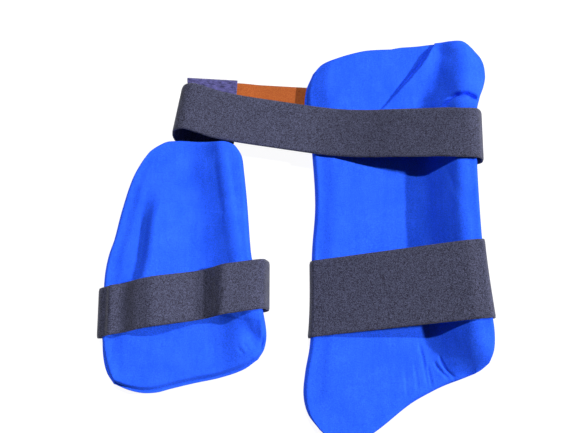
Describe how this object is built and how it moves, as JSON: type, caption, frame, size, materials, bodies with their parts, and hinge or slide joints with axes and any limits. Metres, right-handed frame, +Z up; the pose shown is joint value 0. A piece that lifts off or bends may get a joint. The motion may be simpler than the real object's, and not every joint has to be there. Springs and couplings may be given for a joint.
{
  "type": "cricket thigh guard",
  "caption": "Cricket thigh guard: a large padded outer thigh pad with a raised wing and a smaller inner thigh pad, joined by an elastic waist belt, each with an elastic thigh strap.",
  "frame": {"origin": "on the floor under the middle of the whole guard's box", "axes": "+X from the inner pad to the outer pad, +Y up the leg to the waist belt, +Z up out of the floor, towards the side that lies on the thigh"},
  "size_m": [0.392, 0.4084, 0.0644],
  "materials": {
    "cover_cloth": "matte stretch knit cover over foam",
    "navy_elastic": "woven elastic webbing",
    "orange_elastic": "knitted elastic",
    "purple_hook_tape": "hook and loop tape"
  },
  "bodies": {
    "root": {"outer_thigh_pad": "cover_cloth", "inner_thigh_pad": "cover_cloth", "outer_thigh_strap": "navy_elastic", "inner_thigh_strap": "navy_elastic", "waist_belt": "navy_elastic", "belt_stretch_panel": "orange_elastic", "belt_hook_patch": "purple_hook_tape"}
  },
  "joints": []
}
